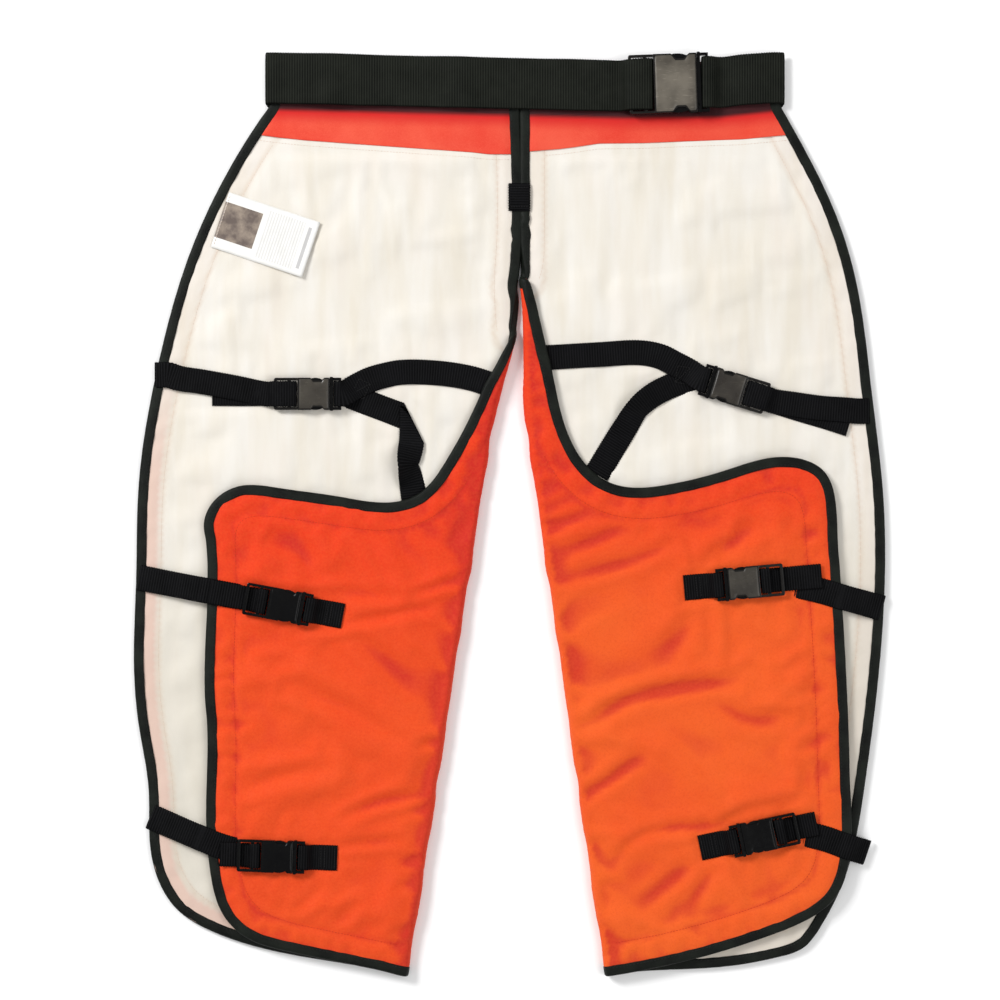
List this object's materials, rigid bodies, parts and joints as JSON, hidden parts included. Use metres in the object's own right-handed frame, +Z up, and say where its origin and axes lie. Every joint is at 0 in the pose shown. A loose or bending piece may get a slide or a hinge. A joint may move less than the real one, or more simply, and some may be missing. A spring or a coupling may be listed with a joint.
{
  "type": "chainsaw chaps",
  "caption": "Chainsaw protective chaps with folded calf wraps, padded leg panels, a waist belt and webbing straps with side-release buckles, lying flat.",
  "frame": {"origin": "bottom centre of the bounding box of the chaps laid flat, lining side up", "axes": "+X to the right, +Y to the waist, +Z up from the surface they lie on"},
  "size_m": [0.7266, 0.8915, 0.0231],
  "materials": {
    "orange_shell": "woven coated nylon, orange",
    "facing": "woven nylon, red-orange",
    "lining": "soft off-white lining cloth",
    "pad_fibre": "layered protective fibre batting",
    "binding_tape": "black woven binding tape",
    "webbing": "black ribbed nylon webbing",
    "buckle_plastic": "moulded black acetal",
    "buckle_plastic_grey": "moulded dark grey acetal",
    "label_card": "printed white care label"
  },
  "bodies": {
    "root": {"left_leg_shell": "orange_shell", "right_leg_shell": "orange_shell", "leg_pads": "pad_fibre", "leg_linings": "lining", "leg_bindings": "binding_tape", "waist_facing": "facing", "belt_front": "webbing", "belt_left": "webbing", "belt_right": "webbing", "crotch_keeper": "webbing", "belt_buckle_male": "buckle_plastic", "thigh_left_strap": "webbing", "thigh_right_strap": "webbing", "thigh_left_y_strap": "webbing", "thigh_right_y_strap": "webbing", "thigh_left_buckle_male": "buckle_plastic", "thigh_right_buckle_male": "buckle_plastic", "calf_left_straps": "webbing", "calf_right_straps": "webbing"},
    "left_calf_wrap": {"left_wrap_shell": "orange_shell", "left_wrap_pad": "pad_fibre", "left_wrap_lining": "lining", "left_wrap_binding": "binding_tape", "calf_left_tabs": "webbing", "calf_left_buckle_males": "buckle_plastic"},
    "right_calf_wrap": {"right_wrap_shell": "orange_shell", "right_wrap_pad": "pad_fibre", "right_wrap_lining": "lining", "right_wrap_binding": "binding_tape", "calf_right_tabs": "webbing", "calf_right_buckle_males": "buckle_plastic"},
    "care_label": {"care_label": "label_card"},
    "belt_buckle": {"belt_buckle_female": "buckle_plastic_grey", "belt_tail": "webbing"},
    "belt_prong_a": {"belt_buckle_prong_a": "buckle_plastic"},
    "belt_prong_b": {"belt_buckle_prong_b": "buckle_plastic"},
    "thigh_left_buckle": {"thigh_left_buckle_female": "buckle_plastic_grey", "thigh_left_tail": "webbing"},
    "thigh_left_prong_a": {"thigh_left_buckle_prong_a": "buckle_plastic"},
    "thigh_left_prong_b": {"thigh_left_buckle_prong_b": "buckle_plastic"},
    "thigh_right_buckle": {"thigh_right_buckle_female": "buckle_plastic_grey", "thigh_right_tail": "webbing"},
    "thigh_right_prong_a": {"thigh_right_buckle_prong_a": "buckle_plastic"},
    "thigh_right_prong_b": {"thigh_right_buckle_prong_b": "buckle_plastic"},
    "calf_left_upper_buckle": {"calf_left_upper_buckle_female": "buckle_plastic", "calf_left_upper_tail": "webbing"},
    "calf_left_upper_prong_a": {"calf_left_upper_buckle_prong_a": "buckle_plastic"},
    "calf_left_upper_prong_b": {"calf_left_upper_buckle_prong_b": "buckle_plastic"},
    "calf_left_lower_buckle": {"calf_left_lower_buckle_female": "buckle_plastic", "calf_left_lower_tail": "webbing"},
    "calf_left_lower_prong_a": {"calf_left_lower_buckle_prong_a": "buckle_plastic"},
    "calf_left_lower_prong_b": {"calf_left_lower_buckle_prong_b": "buckle_plastic"},
    "calf_right_upper_buckle": {"calf_right_upper_buckle_female": "buckle_plastic", "calf_right_upper_tail": "webbing"},
    "calf_right_upper_prong_a": {"calf_right_upper_buckle_prong_a": "buckle_plastic"},
    "calf_right_upper_prong_b": {"calf_right_upper_buckle_prong_b": "buckle_plastic"},
    "calf_right_lower_buckle": {"calf_right_lower_buckle_female": "buckle_plastic", "calf_right_lower_tail": "webbing"},
    "calf_right_lower_prong_a": {"calf_right_lower_buckle_prong_a": "buckle_plastic"},
    "calf_right_lower_prong_b": {"calf_right_lower_buckle_prong_b": "buckle_plastic"}
  },
  "joints": [
    {"name": "left_wrap_fold", "type": "hinge", "parent": "root", "child": "left_calf_wrap", "pos_m": [-0.1047, -0.4456, 0.00715], "axis": [0.1521, 0.9884, 0], "range_deg": [0, 20], "deforming": ["calf_left_straps", "thigh_left_y_strap"]},
    {"name": "right_wrap_fold", "type": "hinge", "parent": "root", "child": "right_calf_wrap", "pos_m": [0.0989, -0.4456, 0.00715], "axis": [0.1423, -0.9898, 0], "range_deg": [0, 20], "deforming": ["calf_right_straps", "thigh_right_y_strap"]},
    {"name": "care_label_lift", "type": "hinge", "parent": "root", "child": "care_label", "pos_m": [-0.2811, 0.28475, 0.0074], "axis": [-0.3173, -0.9483, 0], "range_deg": [0, 120]},
    {"name": "belt_adjust", "type": "slide", "parent": "root", "child": "belt_buckle", "axis": [-0.9994, -0.0349, 0], "range_m": [0, 0.045], "deforming": ["belt_left"]},
    {"name": "belt_squeeze_a", "type": "hinge", "parent": "root", "child": "belt_prong_a", "pos_m": [0.18167, 0.39371, 0.01395], "axis": [0, 0, -1], "range_deg": [0, 7], "stiffness_Nm_per_rad": 0.03},
    {"name": "belt_squeeze_b", "type": "hinge", "parent": "root", "child": "belt_prong_b", "pos_m": [0.18013, 0.43769, 0.01395], "axis": [0, 0, 1], "range_deg": [0, 7], "stiffness_Nm_per_rad": 0.03},
    {"name": "thigh_left_adjust", "type": "slide", "parent": "root", "child": "thigh_left_buckle", "axis": [-1, 0, 0], "range_m": [0, 0.028], "deforming": ["thigh_left_strap"]},
    {"name": "thigh_left_squeeze_a", "type": "hinge", "parent": "root", "child": "thigh_left_prong_a", "pos_m": [-0.1732, 0.1068, 0.01275], "axis": [0, 0, -1], "range_deg": [0, 7], "stiffness_Nm_per_rad": 0.03},
    {"name": "thigh_left_squeeze_b", "type": "hinge", "parent": "root", "child": "thigh_left_prong_b", "pos_m": [-0.1732, 0.1248, 0.01275], "axis": [0, 0, 1], "range_deg": [0, 7], "stiffness_Nm_per_rad": 0.03},
    {"name": "thigh_right_adjust", "type": "slide", "parent": "root", "child": "thigh_right_buckle", "axis": [0.9563, -0.2924, 0], "range_m": [0, 0.028], "deforming": ["thigh_right_strap"]},
    {"name": "thigh_right_squeeze_a", "type": "hinge", "parent": "root", "child": "thigh_right_prong_a", "pos_m": [0.19883, 0.13531, 0.01275], "axis": [0, 0, -1], "range_deg": [0, 7], "stiffness_Nm_per_rad": 0.03},
    {"name": "thigh_right_squeeze_b", "type": "hinge", "parent": "root", "child": "thigh_right_prong_b", "pos_m": [0.19357, 0.11809, 0.01275], "axis": [0, 0, 1], "range_deg": [0, 7], "stiffness_Nm_per_rad": 0.03},
    {"name": "calf_left_upper_adjust", "type": "slide", "parent": "left_calf_wrap", "child": "calf_left_upper_buckle", "axis": [-0.9833, 0.1822, 0], "range_m": [0, 0.028], "deforming": ["calf_left_straps"]},
    {"name": "calf_left_upper_squeeze_a", "type": "hinge", "parent": "left_calf_wrap", "child": "calf_left_upper_prong_a", "pos_m": [-0.20334, -0.09955, 0.0196], "axis": [0, 0, -1], "range_deg": [0, 7], "stiffness_Nm_per_rad": 0.03},
    {"name": "calf_left_upper_squeeze_b", "type": "hinge", "parent": "left_calf_wrap", "child": "calf_left_upper_prong_b", "pos_m": [-0.20006, -0.08185, 0.0196], "axis": [0, 0, 1], "range_deg": [0, 7], "stiffness_Nm_per_rad": 0.03},
    {"name": "calf_left_lower_adjust", "type": "slide", "parent": "left_calf_wrap", "child": "calf_left_lower_buckle", "axis": [-0.9994, 0.0349, 0], "range_m": [0, 0.028], "deforming": ["calf_left_straps"]},
    {"name": "calf_left_lower_squeeze_a", "type": "hinge", "parent": "left_calf_wrap", "child": "calf_left_lower_prong_a", "pos_m": [-0.20831, -0.33899, 0.0196], "axis": [0, 0, -1], "range_deg": [0, 7], "stiffness_Nm_per_rad": 0.03},
    {"name": "calf_left_lower_squeeze_b", "type": "hinge", "parent": "left_calf_wrap", "child": "calf_left_lower_prong_b", "pos_m": [-0.20769, -0.321, 0.0196], "axis": [0, 0, 1], "range_deg": [0, 7], "stiffness_Nm_per_rad": 0.03},
    {"name": "calf_right_upper_adjust", "type": "slide", "parent": "right_calf_wrap", "child": "calf_right_upper_buckle", "axis": [0.9962, 0.0872, 0], "range_m": [0, 0.028], "deforming": ["calf_right_straps"]},
    {"name": "calf_right_upper_squeeze_a", "type": "hinge", "parent": "right_calf_wrap", "child": "calf_right_upper_prong_a", "pos_m": [0.20912, -0.05853, 0.0196], "axis": [0, 0, -1], "range_deg": [0, 7], "stiffness_Nm_per_rad": 0.03},
    {"name": "calf_right_upper_squeeze_b", "type": "hinge", "parent": "right_calf_wrap", "child": "calf_right_upper_prong_b", "pos_m": [0.21068, -0.07647, 0.0196], "axis": [0, 0, 1], "range_deg": [0, 7], "stiffness_Nm_per_rad": 0.03},
    {"name": "calf_right_lower_adjust", "type": "slide", "parent": "right_calf_wrap", "child": "calf_right_lower_buckle", "axis": [0.9781, 0.2079, 0], "range_m": [0, 0.028], "deforming": ["calf_right_straps"]},
    {"name": "calf_right_lower_squeeze_a", "type": "hinge", "parent": "right_calf_wrap", "child": "calf_right_lower_prong_a", "pos_m": [0.22253, -0.3043, 0.0196], "axis": [0, 0, -1], "range_deg": [0, 7], "stiffness_Nm_per_rad": 0.03},
    {"name": "calf_right_lower_squeeze_b", "type": "hinge", "parent": "right_calf_wrap", "child": "calf_right_lower_prong_b", "pos_m": [0.22627, -0.3219, 0.0196], "axis": [0, 0, 1], "range_deg": [0, 7], "stiffness_Nm_per_rad": 0.03}
  ],
  "couplings": [
    {"joint": "belt_squeeze_b", "follows": "belt_squeeze_a", "ratio": 1},
    {"joint": "thigh_left_squeeze_b", "follows": "thigh_left_squeeze_a", "ratio": 1},
    {"joint": "thigh_right_squeeze_b", "follows": "thigh_right_squeeze_a", "ratio": 1},
    {"joint": "calf_left_upper_squeeze_b", "follows": "calf_left_upper_squeeze_a", "ratio": 1},
    {"joint": "calf_left_lower_squeeze_b", "follows": "calf_left_lower_squeeze_a", "ratio": 1},
    {"joint": "calf_right_upper_squeeze_b", "follows": "calf_right_upper_squeeze_a", "ratio": 1},
    {"joint": "calf_right_lower_squeeze_b", "follows": "calf_right_lower_squeeze_a", "ratio": 1}
  ]
}
